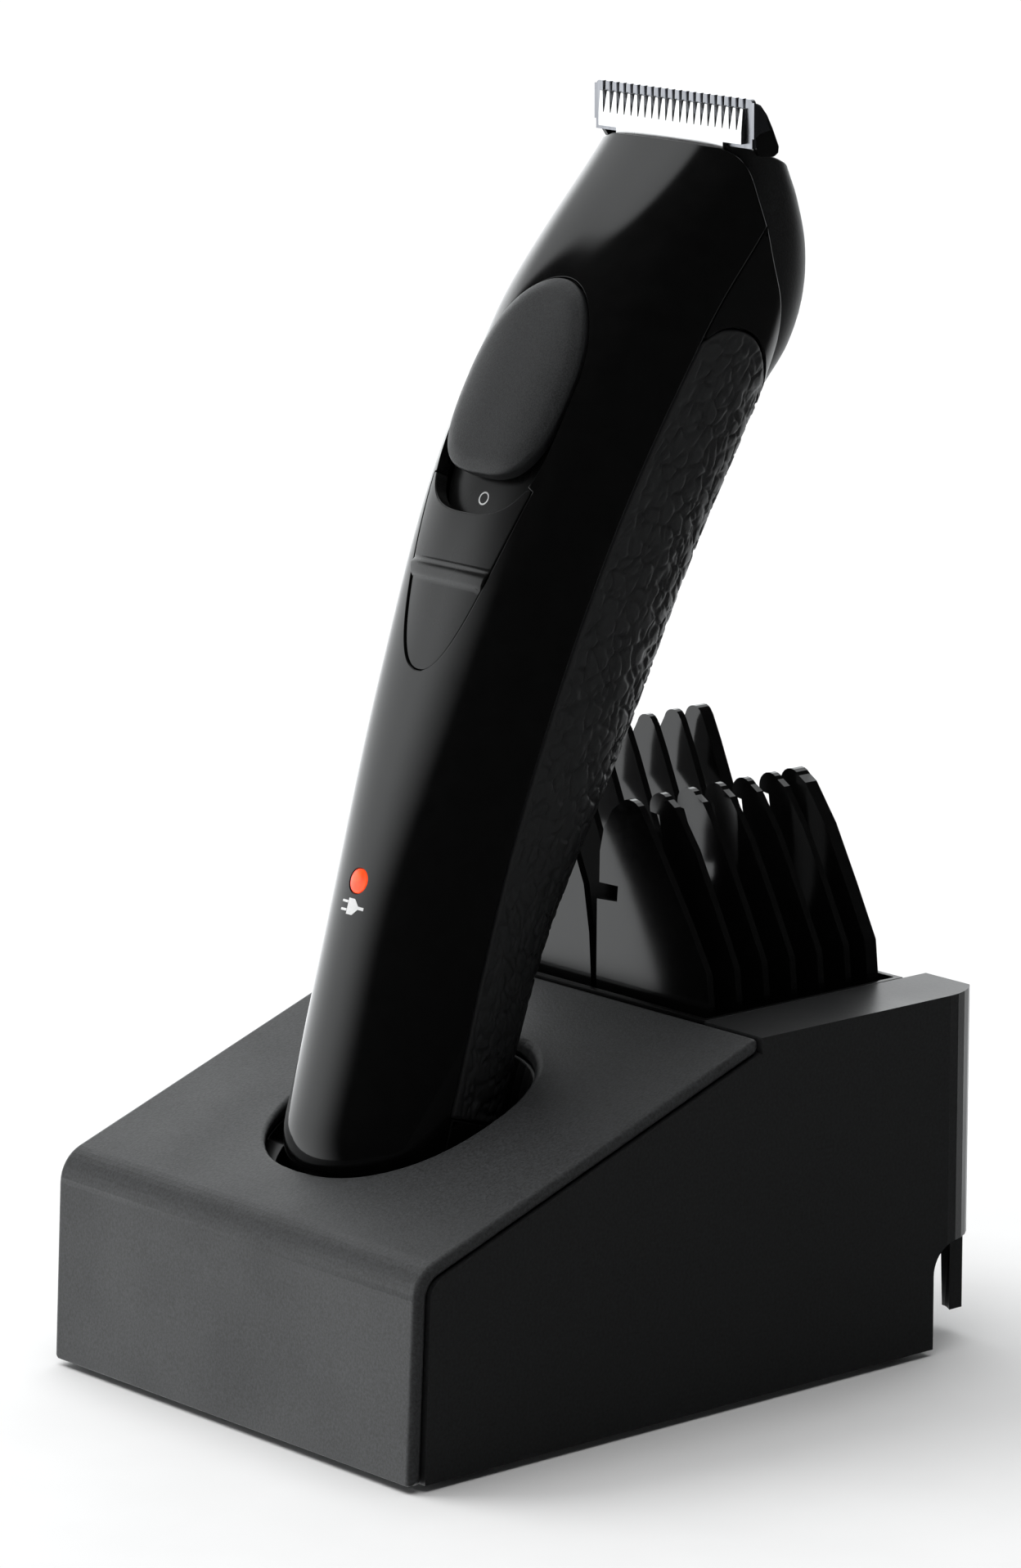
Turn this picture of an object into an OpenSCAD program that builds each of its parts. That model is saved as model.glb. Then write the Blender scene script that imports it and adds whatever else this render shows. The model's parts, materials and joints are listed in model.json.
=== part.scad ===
// Cordless hair trimmer in its charging stand, with two slide-on combs.
// Millimetres, +Z up. Origin: middle of the stand's footprint, on the table.
// The stand's front faces -Y.

/* [Stand] */
// Width of the stand
stand_w = 80; // [78:0.5:90]
// Depth of the stand at the table
stand_d = 109.5; // [108:0.5:112]
// Height of the flat top above the table
stand_h = 52.8; // [52:0.1:56]
// Height of the front face where the ramp starts
front_h = 29; // [27:0.5:30]
// Wall thickness of the stand's mouldings
stand_wall = 2.2; // [1.8:0.1:2.6]
// Height that the rubber feet lift the stand
foot_h = 0.8; // [0.6:0.1:1.2]

/* [Trimmer] */
// Lean of the trimmer in its socket, from upright towards the back
lean = 19; // [17:0.5:21]
// Wall thickness of the trimmer's housings
wall = 1.8; // [1.5:0.1:2]
// Wall thickness of the rear housing, before the grip's recess
rear_wall = 2.6; // [2.4:0.1:2.8]
// Thickness of the soft grip's layer
grip_t = 1.3; // [1:0.1:1.5]
// Radius of the rounded bottom end
end_r = 10; // [8:0.5:11]
// Travel of the on-off switch
switch_travel = 5; // [3:0.5:5]

/* [Blade] */
// Half width of the fixed blade
blade_half = 16.4; // [16:0.1:16.8]
// Number of gaps between the fixed blade's teeth
blade_gaps = 20; // [16:1:24]
// Throw of the eccentric drive pin
pin_throw = 1; // [0.6:0.1:1]

/* [Combs] */
// Number of teeth on each comb
comb_teeth = 7; // [5:1:9]
// Distance between comb teeth
comb_pitch = 5.3; // [5:0.1:5.4]
// Thickness of a comb tooth
tooth_t = 1.1; // [0.9:0.1:1.3]
// Thickness of the rear end tooth
end_tooth_t = 2.2; // [1.4:0.1:2.6]

/* [Hidden] */
$fn = 48;
eps = 0.01;

// Stand
half_w = stand_w / 2;
cover_half = half_w - 0.4;
top_z = stand_h;
front_y = -stand_d / 2;
rear_y = stand_d / 2;
ramp_y = front_y + 1.3;      // where the leaning front face meets the ramp
crease_y = 9.05;             // where the ramp meets the flat top
rear_top_y = rear_y - 2.3;   // the rear wall leans in a little
corner_r = 9;                // rear vertical corners
tray_half = 27.8;
tray_y0 = crease_y + 0.6;
tray_d = 38.6;
tray_z0 = 46;
tray_wall = 1;
notch_x = half_w - 5;        // the cord notch takes the side wall and the corner from here outwards
notch_d = 11.6;
notch_h = 15.5;
notch_r = 4.6;
exit_x = [25.8, 32.5];       // way out through the rear wall, behind the inlet
exit_h = 13;
pillar_z = 4;
inlet_x = 29.2;
inlet_y = rear_y - 24;
boss_x = 30;
boss_y = [-38, 24];          // base screws

// Trimmer placement: the middle of its bottom end
seat_y = -28.65;
seat_z = 26.2;
head_w = 157;                // where the head is cut off square
// Rows of [height, front, back, half width, squareness] along the trimmer
BODY = [[0, -15.4, 15.4, 13.2, 2], [20, -16.2, 15.4, 13.4, 2], [45, -17.3, 15.8, 13.6, 2.1],
        [75, -16.4, 18.4, 14.6, 2.9], [102, -14.6, 20.6, 15.8, 3.4], [127, -9.6, 24.5, 17, 3.5],
        [140, -4.8, 25, 17, 3.4], [head_w, 4, 18, 16.5, 3.2]];
CAP = [[127, 4, 25.6, 14.6, 3], [133, 4, 28.2, 15, 3], [140, 4, 28.8, 15.1, 3],
       [147, 4, 26.8, 15, 3], [153, 4, 22.6, 14.8, 3], [158, 4, 17.6, 14.4, 3]];
// Seam between the front housing and the grip and rear housing, as [depth, height]
SEAM = [[0, -1], [-1.4, 17], [-3, 60], [-0.8, 98], [5, 129], [12, 147.6]];
// Rear edge of the housings beside the head cap, as [depth, height]
REAR_EDGE = [[5, head_w + 1], [6.4, 154.6], [11.6, 147.7], [15, 143], [18.7, 138], [20.6, 133],
             [21, 127.5], [27, 124]];
GRIP_TOP = [[5.2, 129], [8, 131.6], [12, 132.6], [16, 131.6], [20, 127.5], [24, 122], [30, 119]];
grip_w0 = 16;
cap_open = 12.7;             // half width of the cap's opening for the blade block

// Switch, on the front of the trimmer
pad_w = 118.5;
pad_half = 10.5;
pad_len = 14.8;
pad_proud = 1;
pad_sunk = 1.6;
floor_depth = 2.6;
floor_t = 1.2;
switch_lean = atan2(5, 25);  // slope of the front face under the pad

lamp_w = 44.8;
lamp_r = 1.75;
terminal_x = 4;

// Drive
board_t = -6.8;
post_w = [70, 96];           // posts that the rear housing is screwed to
motor_t = 11;                // depth of the motor's axis
motor_r = 7.5;
motor_w0 = 112;
motor_len = 26;
shaft_r = 1;
cam_w = 146;
pin_r = 0.9;

// Blade block, in the stand's own axes because the blade stands upright
blade_y = 27.05;
blade_t = 0.75;
blade_top = 179.7;
blade_low = 173.4;
tooth_len = 3;
mover_half = 15;
mover_top = 178.4;
blade_pitch = (2 * mover_half - 0.6) / blade_gaps;

// Combs
comb_y0 = 12.95;             // middle of the front tooth

function sgn_pow(v, p) = sign(v) * pow(abs(v), p);
function row_at(T, w, i = 0) = (i >= len(T) - 2 || w < T[i + 1][0]) ? i : row_at(T, w, i + 1);
function slope(T, i, k) =
    let (a = max(i - 1, 0), b = min(i + 1, len(T) - 1))
    (T[b][k] - T[a][k]) / (T[b][0] - T[a][0]);
// Smooth value of column k of a station table at height w
function smooth(T, w, k) =
    let (i = row_at(T, w), h = T[i + 1][0] - T[i][0], u = (w - T[i][0]) / h)
    (2 * u * u * u - 3 * u * u + 1) * T[i][k] + (u * u * u - 2 * u * u + u) * h * slope(T, i, k)
    + (3 * u * u - 2 * u * u * u) * T[i + 1][k] + (u * u * u - u * u) * h * slope(T, i + 1, k);
function end_inset(w, d) =
    w - d >= end_r ? 0 : end_r - sqrt(max(end_r * end_r - pow(end_r - max(w - d, 0), 2), 0));
// Outline of a station table at height w, moved inwards by d
function section(T, w, d, ends, m) =
    let (c = ends ? end_inset(w, d) : 0, f = smooth(T, w, 1) + d + c, b = smooth(T, w, 2) - d - c,
         a = smooth(T, w, 3) - d - c, n = smooth(T, w, 4))
    [for (j = [0 : m - 1]) let (q = 360 * (j + 0.5) / m)
        [a * sgn_pow(cos(q), 2 / n), (f + b) / 2 + (b - f) / 2 * sgn_pow(sin(q), 2 / n), w]];
function superellipse(a, b, n, m = 48) =
    [for (j = [0 : m - 1]) let (q = 360 * j / m) [a * sgn_pow(cos(q), 2 / n), b * sgn_pow(sin(q), 2 / n)]];
function arc(c, r, a0, a1, m = 8) =
    [for (j = [0 : m]) let (q = a0 + (a1 - a0) * j / m) [c[0] + r * cos(q), c[1] + r * sin(q)]];

// ---- shared shapes ----
// Solid through the sections of a station table at the given heights
module loft(T, heights, d = 0, ends = false, m = 40) {
    n = len(heights);
    points = [for (w = heights) each section(T, w, d, ends, m)];
    sides = [for (i = [0 : n - 2]) for (j = [0 : m - 1])
        [i * m + j, (i + 1) * m + j, (i + 1) * m + (j + 1) % m, i * m + (j + 1) % m]];
    bottom = [[for (j = [0 : m - 1]) j]];
    top = [[for (j = [m - 1 : -1 : 0]) (n - 1) * m + j]];
    polyhedron(concat(points), concat(sides, bottom, top), convexity = 6);
}
function heights(w0, w1, step = 6) =
    let (n = ceil((w1 - w0) / step)) [for (i = [0 : n]) w0 + (w1 - w0) * i / n];
// Heights crowded into the rounded bottom end
function body_heights(d, w1) =
    concat([for (i = [0 : 6]) d + end_r * (1 - cos(15 * i)) + 0.02], heights(d + end_r + 4, w1));
// Whole trimmer outline moved inwards by d
function back_at(w) = smooth(BODY, w, 2);
module body_solid(d = 0, w1 = head_w) loft(BODY, body_heights(max(d, 0), w1), d, true);
// A slice of the outline, between two heights
module body_slice(d, w0, w1, m = 40) loft(BODY, heights(w0, w1, 4), d, false, m);
// Keeps a subtree as one smooth-shell mesh
module shell() resize([0, 0, 0]) children();
// Prism of a [depth, height] outline, along X
module side_prism(points, x0 = -30, x1 = 30)
    translate([x0, 0, 0]) rotate([90, 0, 90]) linear_extrude(x1 - x0) polygon(points);
// Prism of an [x, height] outline, along Y
module front_prism(y0 = -30, y1 = 0)
    translate([0, y1, 0]) rotate([90, 0, 0]) linear_extrude(y1 - y0) children();
module in_trimmer() translate([0, seat_y, seat_z]) rotate([-lean, 0, 0]) children();
module screw(r, len, head_r, head_t) {
    cylinder(r = r, h = len);
    translate([0, 0, -head_t]) difference() {
        cylinder(r = head_r, h = head_t);
        for (a = [0, 90]) rotate(a) translate([-head_r * 0.6, -0.25, -eps]) cube([head_r * 1.2, 0.5, 0.6]);
    }
}

// ---- stand ----
ramp_n = atan2(top_z - front_h, crease_y - ramp_y);   // rise of the ramp
// Side view of the stand between d inside the front and d below the ramp and top
function stand_side(d, z0) =
    let (r = 5.5 - d, t = (90 - ramp_n) / 2, c = [ramp_y + 5.5, front_h - 5.5 * tan(t) + 1.2])
    concat([[front_y + d, z0]], arc(c, r, 180 - 2.6, 90 + ramp_n, 8),
        [[crease_y, top_z - d], [rear_top_y - d, top_z - d], [rear_y - d, z0]]);
module stand_plan(d)
    polygon(concat([[-half_w + d, front_y - 5], [half_w - d, front_y - 5]],
        arc([half_w - corner_r, rear_y - corner_r], corner_r - d, 0, 90),
        arc([corner_r - half_w, rear_y - corner_r], corner_r - d, 90, 180)));
module stand_block(d, z0) intersection() {
    side_prism(stand_side(d, z0), -half_w, half_w);
    translate([0, 0, z0]) linear_extrude(80) stand_plan(d);
}
module front_band(d, x) intersection() {
    side_prism(stand_side(d, foot_h - 2), -x, x);
    translate([-60, front_y - 10, -5]) cube([120, crease_y - front_y + 10, 70]);
}
module stand_housing() color([0.13, 0.13, 0.14]) {
    stand_walls();
    stand_bosses();
}
module stand_walls() difference() {
    stand_block(0, foot_h);
    stand_block(stand_wall, foot_h - 5);
    // room for the cover: the walls stop under it
    difference() {
        translate([-50, front_y - 10, -5]) cube([100, crease_y - front_y + 10.2, 70]);
        side_prism(stand_side(stand_wall + 0.1, foot_h - 6), -60, 60);
    }
    // opening for the comb tray, open to the rear
    translate([-tray_half - 0.2, crease_y + 0.2, tray_z0 - 0.2]) cube([2 * tray_half + 0.4, 60, 30]);
    // cord notch in the rear right corner
    translate([notch_x, rear_y - notch_d, -5]) cube([20, 30, 5 + foot_h + notch_h - notch_r]);
    translate([notch_x, rear_y - notch_d + notch_r, 0]) cube([20, 30, foot_h + notch_h]);
    translate([notch_x, rear_y - notch_d + notch_r, foot_h + notch_h - notch_r])
        rotate([0, 90, 0]) cylinder(r = notch_r, h = 20);
    translate([exit_x[0], rear_y - 6, -5]) cube([exit_x[1] - exit_x[0], 20, 5 + foot_h + exit_h]);
    translate([exit_x[0], rear_y - 6, -5]) cube([20, 20, 5 + pillar_z]);
}
module stand_bosses() for (s = [-1, 1], y = boss_y) translate([s * boss_x, y, foot_h + 2.05]) difference() {
    union() {
        cylinder(r = 3, h = 9);
        translate([s > 0 ? 0 : boss_x - half_w + stand_wall - 0.5, -1, 0])
            cube([half_w - boss_x - stand_wall + 0.5, 2, 9]);
    }
    translate([0, 0, -1]) cylinder(r = 1.2, h = 7);
}
module trimmer_hole(w0, w1, grow = 0)
    translate([0, 0.8, w0]) linear_extrude(w1 - w0) polygon(superellipse(18 + grow, 15.6 + grow, 2.2));
module stand_cover() color([0.27, 0.28, 0.29]) difference() {
    front_band(0, cover_half);
    front_band(stand_wall, cover_half + 5);
    translate([-60, -60, -10]) cube([120, 120, 10 + foot_h]);
    in_trimmer() trimmer_hole(-6, 60);
}
module stand_base() color([0.1, 0.1, 0.11]) {
    base_plate();
    board_posts();
}
module base_plate() difference() {
    translate([0, 0, foot_h]) linear_extrude(2) intersection() {
        stand_plan(stand_wall + 0.3);
        translate([-60, front_y + stand_wall + 0.4]) square([120, 200]);
    }
    for (x = [-1, 1], y = boss_y) translate([x * boss_x, y, -eps]) {
        cylinder(r = 1.3, h = 5);
        cylinder(r = 2.7, h = foot_h + 1.25);
    }
    translate([exit_x[0] - 0.3, rear_y - notch_d - 1, -1]) cube([20, 20, 10]);
}
module board_posts() for (x = [-14, 14], y = [6, 32]) translate([x, y, foot_h + 2 - eps]) difference() {
    cylinder(r = 2.2, h = 4);
    cylinder(r = 0.9, h = 6);
}
module stand_feet() color([0.05, 0.05, 0.05])
    for (x = [-33, 33], y = [-43, 38]) translate([x, y, 0]) cylinder(r = 4, h = foot_h);
module stand_screws() color("silver")
    for (x = [-1, 1], y = boss_y) translate([x * boss_x, y, foot_h + 1.2]) screw(1.2, 5, 2.5, 1.1);
module socket_cup() color([0.04, 0.04, 0.045]) difference() {
    in_trimmer() trimmer_hole(-3, 60, 1.7);
    in_trimmer() {
        trimmer_hole(6, 61);
        translate([0, 0.4, -0.4]) linear_extrude(7) polygon(superellipse(13.9, 15.4, 2));
        for (x = [-1, 1]) translate([x * terminal_x, 0, -5]) cylinder(r = 1.2, h = 6);
    }
    // cut off under the cover
    difference() {
        translate([-50, -60, -10]) cube([100, 120, 110]);
        side_prism(stand_side(stand_wall + 0.1, -5), -50, 50);
    }
}
module comb_tray() color([0.05, 0.05, 0.055]) difference() {
    translate([-tray_half, tray_y0, tray_z0]) cube([2 * tray_half, tray_d, top_z - tray_z0]);
    translate([-tray_half + tray_wall, tray_y0 + tray_wall, tray_z0 + tray_wall])
        cube([2 * (tray_half - tray_wall), tray_d - 2 * tray_wall, 30]);
}
module contact_block() color([0.2, 0.2, 0.2]) in_trimmer() difference() {
    translate([-7, -3, -9.2]) cube([14, 6, 6]);
    for (x = [-1, 1]) translate([x * terminal_x, 0, -8]) {
        cylinder(r = 1.45, h = 10);
        translate([0, 0, -2]) cylinder(r = 0.5, h = 10);
    }
}
module contact_pins() color("gold") in_trimmer() for (x = [-1, 1]) translate([x * terminal_x, 0, 0]) {
    translate([0, 0, -4.6]) cylinder(r = 0.9, h = 4.5);
    translate([0, 0, -5]) cylinder(r = 1.35, h = 0.6);
}
module contact_springs() color("silver") in_trimmer() for (x = [-1, 1])
    translate([x * terminal_x, 0, -7.9]) for (i = [0 : 3])
        translate([0, 0, i * 0.75]) rotate_extrude() translate([1.05, 0.2]) circle(r = 0.2, $fn = 16);
module charge_board() color([0.1, 0.3, 0.15]) translate([-18, 2, foot_h + 6]) difference() {
    cube([36, 34, 1.2]);
    for (x = [4, 32], y = [4, 30]) translate([x, y, -1]) cylinder(r = 1.1, h = 4);
}
module power_inlet() color([0.08, 0.08, 0.08]) translate([inlet_x - 4.6, inlet_y, foot_h + 2.05]) difference() {
    cube([9.2, 9.6, 10]);
    translate([4.6, 12, 5.5]) rotate([90, 0, 0]) cylinder(r = 2.9, h = 9);
    translate([4.6, 0.6, 5.5]) rotate([-90, 0, 0]) cylinder(r = 0.8, h = 0.4);
}

// ---- trimmer housings ----
module front_region() side_prism(concat(SEAM, [[5.2, head_w + 3], [-40, head_w + 3], [-40, -5], [0, -5]]));
module behind_edge() side_prism(concat(REAR_EDGE, [[50, 124], [50, head_w + 5], [5, head_w + 5]]));
function panel_half(w) = 10.4 * pow(max(w - 75.3, 0) / 27.7, 0.42);
module panel_shape(grow = 0) {
    ws = [for (i = [0 : 14]) 75.3 + 28 * pow(i / 14, 1.8)];
    polygon(concat([for (w = ws) [panel_half(w) + grow, w - (w < 75.4 ? grow : 0)]],
        [for (i = [14 : -1 : 0]) [-panel_half(ws[i]) - grow, ws[i] - (i == 0 ? grow : 0)]]));
}
module pad_shape(grow = 0, low = 0)
    polygon([for (j = [0 : 47]) let (q = 7.5 * j, n = sin(q) > 0 ? 2 : 3)
        [(pad_half + grow) * sgn_pow(cos(q), 2 / n),
         pad_w + (pad_len + grow) * sgn_pow(sin(q), 2 / n) - (sin(q) <= 0 ? low : 0)]]);
module pocket_shape(grow = 0) pad_shape(0.35 + grow, switch_travel + 0.2);
module front_housing() color([0.03, 0.03, 0.035]) in_trimmer() shell() difference() {
    intersection() {
        body_solid(0);
        front_region();
    }
    body_solid(wall, head_w + 2);
    behind_edge();
    front_prism() panel_shape(0.1);
    front_prism() pocket_shape();
    translate([0, -30, lamp_w]) rotate([-90, 0, 0]) cylinder(r = lamp_r + 0.05, h = 25, $fn = 32);
    terminal_holes();
    // slot behind the lip for the blade's stem
    translate([-12.8, 4.55, 149]) cube([25.6, 6, 10]);
}
module terminal_holes() for (x = [-1, 1])
    translate([x * terminal_x, 0, -1]) cylinder(r = 1.65, h = 6, $fn = 32);
module grip_region(grow = 0) side_prism(concat([[-20, grip_w0 - grow], [-20, 125 + grow]],
    [for (p = GRIP_TOP) [p[0], p[1] + grow]], [[60, 119 + grow], [60, grip_w0 - grow]]));
module rear_housing() color([0.06, 0.06, 0.065]) in_trimmer() shell() difference() {
    union() {
        difference() {
            body_solid(0);
            grip_region(0.05);
        }
        body_solid(grip_t + 0.05, head_w - 1);
    }
    translate([0, 0.05, 0]) front_region();
    body_solid(rear_wall, head_w + 2);
    behind_edge();
    terminal_holes();
    for (w = post_w) translate([0, back_at(w), w]) rotate([90, 0, 0]) {
        cylinder(r = 1.7, h = grip_t + 1, $fn = 32);
        cylinder(r = 0.95, h = 4, $fn = 32);
    }
}
module grip() color([0.16, 0.16, 0.165]) in_trimmer() shell() intersection() {
    grip_region();
    translate([0, 0.05, 0]) difference() {
        body_solid(0);
        front_region();
    }
    difference() {
        body_solid(0);
        body_solid(grip_t, head_w + 2);
    }
}
module head_cap() color([0.14, 0.14, 0.15]) in_trimmer() shell() difference() {
    intersection() {
        loft(CAP, heights(127, 158, 3), 0);
        translate([0, 0.3, 0.1]) behind_edge();
    }
    loft(CAP, heights(128.5, 156.4, 3), 1.6);
    body_solid(-0.1, 127.8);
    // opening in the top, where the blade block clips in
    translate([-cap_open, -10, 150]) cube([2 * cap_open, 27.2, 20]);
}
module switch_panel() color([0.05, 0.05, 0.055]) in_trimmer() shell() {
    difference() {
        body_slice(0.05, 74, 103.4);
        body_slice(wall - 0.1, 73, 110);
        difference() {
            translate([-30, -30, 70]) cube([60, 60, 80]);
            front_prism() panel_shape();
        }
        front_prism() pocket_shape();
    }
    // dish under the pad
    difference() {
        body_slice(wall + 0.05, 94, 138);
        body_slice(floor_depth + floor_t, 93, 139);
        difference() {
            translate([-30, -30, 90]) cube([60, 60, 60]);
            front_prism() pocket_shape(1.4);
        }
        intersection() {
            front_prism() pocket_shape();
            difference() {
                body_slice(-5, 92, 140);
                body_slice(floor_depth, 91, 141);
            }
        }
        translate([-1.8, -30, 102]) cube([3.6, 30, 11]);
    }
    // tie between the panel and the dish
    intersection() {
        difference() {
            body_slice(wall - 0.3, 94, 104);
            body_slice(wall + 0.5, 93, 105);
        }
        front_prism() difference() {
            intersection() {
                panel_shape(-0.3);
                pocket_shape(1.3);
            }
            pocket_shape(0.05);
        }
    }
}

// ---- trimmer inner parts ----
module switch_pad() color([0.1, 0.1, 0.105]) in_trimmer() shell() intersection() {
    difference() {
        body_slice(-pad_proud, 100, 136, 64);
        body_slice(pad_sunk, 99, 137, 64);
    }
    front_prism() pad_shape();
}
module switch_stem() color([0.3, 0.3, 0.3]) in_trimmer() {
    translate([-1.5, -12.1, 108.2]) cube([3, 3.6, 4]);
    translate([-3.2, -8.6, 108.2]) cube([6.4, 0.5, 4]);
}
module slide_switch() color([0.35, 0.35, 0.36]) in_trimmer()
    translate([-4, board_t - 1.2, 100.5]) cube([8, 1.2, 12.5]);
module lamp_lens() color([0.85, 0.12, 0.05]) in_trimmer() translate([0, -17.4, lamp_w]) rotate([-90, 0, 0]) {
    cylinder(r = lamp_r, h = 4);
    translate([0, 0, 3]) cylinder(r = 2.3, h = 1);
}
module lamp_led() color([0.9, 0.4, 0.3]) in_trimmer() translate([-1, board_t - 2.4, lamp_w - 1]) cube([2, 2.4, 2]);
module charge_terminals() color("silver") in_trimmer() for (x = [-1, 1]) translate([x * terminal_x, 0, 0]) {
    cylinder(r = 1.6, h = 5.6);
    translate([0, 0, 4.8]) cylinder(r = 2.4, h = 0.8);
}
module battery_cell() color([0.2, 0.35, 0.3]) in_trimmer() translate([0, 3, 12]) {
    cylinder(r = 7.1, h = 49);
    translate([0, 0, 49]) cylinder(r = 2.7, h = 1.2);
}
module battery_tabs() color("silver") in_trimmer() {
    translate([-2, -4, 11.7]) cube([4, 8, 0.25]);
    translate([-2, -4, 62.25]) cube([4, 8, 0.25]);
}
module circuit_board() color([0.1, 0.35, 0.18]) in_trimmer() {
    translate([-8.5, board_t, 20]) cube([17, 1.2, 95]);
    translate([-5, board_t + 1.2, 78]) cube([6, 3, 9]);
    translate([2, board_t + 1.2, 82]) cube([4, 2, 5]);
}
module inner_frame() color([0.75, 0.75, 0.72]) in_trimmer() difference() {
    union() {
        translate([-9.5, board_t + 1.4, 14]) cube([19, 1.1, 94]);
        for (w = post_w) translate([0, board_t + 2, w]) rotate([-90, 0, 0])
            cylinder(r = 2.6, h = back_at(w) - rear_wall - 0.5 - board_t - 2);
    }
    translate([-7.5, board_t, 76]) cube([15, 5, 13]);
    for (w = post_w) translate([0, back_at(w) + 1, w]) rotate([90, 0, 0]) cylinder(r = 0.9, h = 11);
}
module motor_axis() in_trimmer() translate([0, motor_t, 0]) children();
module motor_can() color("silver") motor_axis() translate([0, 0, motor_w0 + 2]) difference() {
    cylinder(r = motor_r, h = motor_len - 2);
    translate([0, 0, -1]) cylinder(r = motor_r - 0.8, h = motor_len - 2.2);
    cylinder(r = 2.5, h = 40);
}
module motor_end_cap() color([0.15, 0.15, 0.15]) motor_axis() translate([0, 0, motor_w0]) difference() {
    union() {
        cylinder(r = motor_r, h = 2);
        translate([0, 0, 2]) cylinder(r = motor_r - 0.85, h = 1);
    }
    translate([0, 0, 1]) cylinder(r = shaft_r + 0.04, h = 5);
}
module motor_bush() color([0.7, 0.55, 0.25]) motor_axis()
    translate([0, 0, motor_w0 + motor_len - 1.2]) difference() {
        cylinder(r = 2.5, h = 2.8);
        translate([0, 0, -1]) cylinder(r = shaft_r + 0.04, h = 8);
    }
module motor_shaft() color("silver") motor_axis() translate([0, 0, motor_w0 + 1.1])
    cylinder(r = shaft_r, h = cam_w + 2 - motor_w0 - 1.1);
module motor_armature() color([0.6, 0.35, 0.15]) motor_axis() translate([0, 0, motor_w0 + 5]) difference() {
    cylinder(r = motor_r - 1.6, h = 18);
    translate([0, 0, -1]) cylinder(r = shaft_r, h = 30);
}
module drive_cam() color([0.9, 0.9, 0.88]) motor_axis() difference() {
    union() {
        translate([0, 0, cam_w - 1.5]) cylinder(r = 3.4, h = 4);
        translate([0, pin_throw, cam_w + 2]) cylinder(r = pin_r, h = 7.2);
    }
    translate([0, 0, cam_w - 3]) cylinder(r = shaft_r, h = 5);
}
module motor_mount() color([0.2, 0.2, 0.21]) motor_axis() translate([0, 0, motor_w0 + 8]) difference() {
    translate([-10.5, -9.2, 0]) cube([21, 16.4, 6]);
    translate([0, 0, -1]) cylinder(r = motor_r + 0.05, h = 8);
    translate([-3.5, 0, -1]) cube([7, 20, 8]);
}
module housing_screws() color("silver") in_trimmer()
    for (w = post_w) translate([0, back_at(w) - grip_t - 1, w]) rotate([90, 0, 0]) screw(0.9, 6.5, 1.6, 0.85);

// ---- blade block ----
// Side view of a cheek at the holder's end, with depth measured from the moving blade's front face
function cheek_side() = [[1.75, 179.1], [2.6, 178.8], [3.8, 177.4], [4.9, 175.4], [6.1, 172.8], [6, 171.9],
                         [5.2, 171.4], [2.5, 171.6], [1.75, 172.6]];
module at_blade() translate([0, blade_y, 0]) children();
// Wedge-shaped gaps between teeth, cut through a plate
module tooth_gaps(count, pitch, low, high, low_w, high_w) for (i = [0 : count - 1])
    translate([(i - (count - 1) / 2) * pitch, 0, 0]) front_prism(-5, 5)
        polygon([[-low_w / 2, low], [low_w / 2, low], [high_w / 2, high], [-high_w / 2, high]]);
module blade_holder() color([0.05, 0.05, 0.05]) at_blade() {
    for (s = [-1, 1]) side_prism(cheek_side(), s > 0 ? blade_half - 0.95 : 0.1 - blade_half,
        s > 0 ? blade_half - 0.1 : 0.95 - blade_half);
    translate([-blade_half + 0.9, 1.75, 173.9]) cube([2 * blade_half - 1.8, 1.5, 2.1]);
    for (s = [-1, 1]) translate([s > 0 ? 7.4 : -9.8, 1.75, 165.5]) cube([2.4, 3, 8.6]);
    translate([-9.8, 8.1, 165.5]) cube([19.6, 1, 3]);
    for (s = [-1, 1]) translate([s > 0 ? 8.4 : -9.8, 4.75, 165.5]) cube([1.4, 4, 2.4]);
}
// Rear plate with the longer teeth and a wide rounded guard at each end
module fixed_blade() color([0.6, 0.61, 0.62]) at_blade() {
    difference() {
        union() {
            translate([-blade_half, blade_t + 0.05, 172.8]) cube([2 * blade_half, 0.7, blade_top - 173.5]);
            hull() for (x = [-1, 1]) translate([x * (blade_half - 0.7), blade_t + 0.75, blade_top - 0.7])
                rotate([90, 0, 0]) cylinder(r = 0.7, h = 0.7, $fn = 24);
        }
        tooth_gaps(blade_gaps + 1, blade_pitch, blade_top - 3.6, blade_top + 1, 0.4, 0.75);
    }
    for (s = [-1, 1]) side_prism([[0.8, 179.3], [1.6, 179.1], [3, 177.3], [3.7, 175.3],
        [1.9, 174.9], [0.8, 174.2]], s > 0 ? blade_half - 0.05 : -blade_half - 0.35,
        s > 0 ? blade_half + 0.35 : 0.05 - blade_half);
}
// Front plate with pointed teeth, on a stem that reaches down into the head
module moving_blade() color([0.75, 0.76, 0.78]) at_blade() {
    difference() {
        side_prism([[0, blade_low], [blade_t, blade_low], [blade_t, mover_top], [0.28, mover_top],
            [0, mover_top - tooth_len - 0.3]], -mover_half, mover_half);
        tooth_gaps(blade_gaps, blade_pitch, mover_top - tooth_len, mover_top + 0.1, 0.16, 0.95);
    }
    translate([-11.2, 0, 166]) cube([22.4, blade_t, blade_low - 166 + eps]);
}
module drive_block() color([0.85, 0.85, 0.83]) difference() {
    at_blade() translate([-6, blade_t, 165.6]) cube([12, 7.15, 5]);
    motor_axis() translate([-3.3, -2.1, 140]) cube([6.6, 4.2, 30]);
}
module blade_spring() color("silver") at_blade() for (s = [-1, 1])
    translate([s > 0 ? 10.2 : -12.6, 1.55, 174]) cube([2.4, 0.15, 1.8]);

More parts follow.
